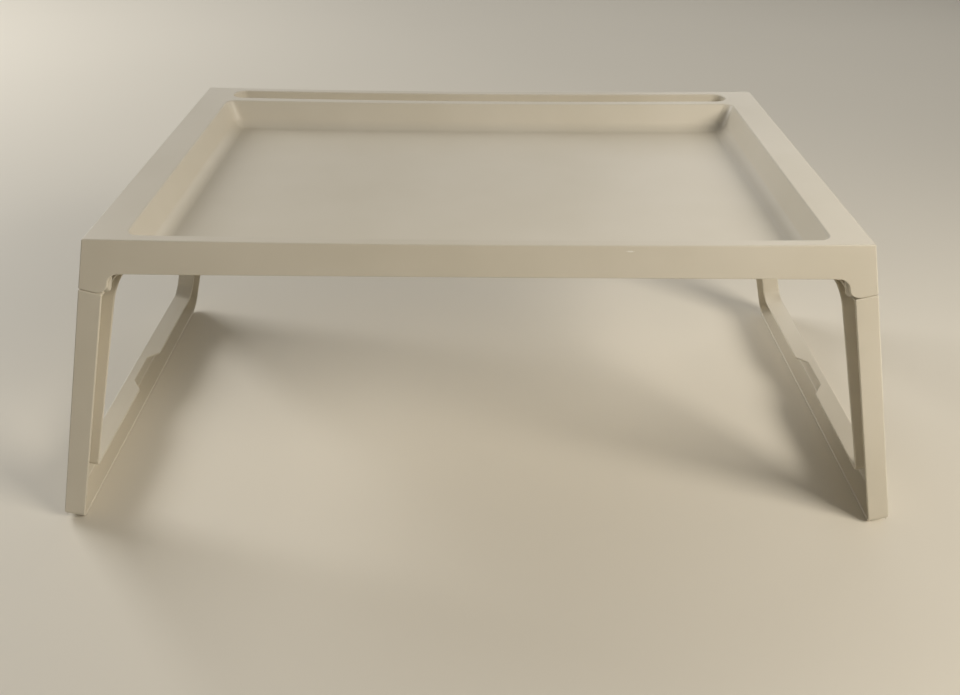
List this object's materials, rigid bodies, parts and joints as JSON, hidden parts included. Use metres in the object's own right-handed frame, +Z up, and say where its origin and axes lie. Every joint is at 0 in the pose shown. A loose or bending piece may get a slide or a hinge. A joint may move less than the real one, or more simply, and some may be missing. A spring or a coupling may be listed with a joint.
{
  "type": "bed tray table",
  "caption": "Low moulded tray table: sloping-sided recess, groove along the rear, and two splayed open leg frames that fold in under it.",
  "frame": {"origin": "on the floor, under the middle of the tray", "axes": "+X along the tray, +Z up; the front is at -Y and the groove is along the rear, at +Y"},
  "size_m": [0.7034, 0.364, 0.264],
  "materials": {
    "tray": "off-white moulded plastic, fine satin",
    "left_leg": "off-white moulded plastic, fine satin",
    "right_leg": "off-white moulded plastic, fine satin",
    "front_left_hinge_pin": "plain turned pin",
    "rear_left_hinge_pin": "plain turned pin",
    "front_right_hinge_pin": "plain turned pin",
    "rear_right_hinge_pin": "plain turned pin"
  },
  "bodies": {
    "table_top": {"tray": "tray", "front_left_hinge_pin": "front_left_hinge_pin", "rear_left_hinge_pin": "rear_left_hinge_pin", "front_right_hinge_pin": "front_right_hinge_pin", "rear_right_hinge_pin": "rear_right_hinge_pin"},
    "left_leg": {"left_leg": "left_leg"},
    "right_leg": {"right_leg": "right_leg"}
  },
  "joints": [
    {"name": "left_leg_fold", "type": "hinge", "parent": "table_top", "child": "left_leg", "pos_m": [-0.27429, 0, 0.2322], "axis": [0, -1, 0], "range_deg": [0, 105.5]},
    {"name": "right_leg_fold", "type": "hinge", "parent": "table_top", "child": "right_leg", "pos_m": [0.27429, 0, 0.2322], "axis": [0, 1, 0], "range_deg": [0, 105.5]}
  ]
}
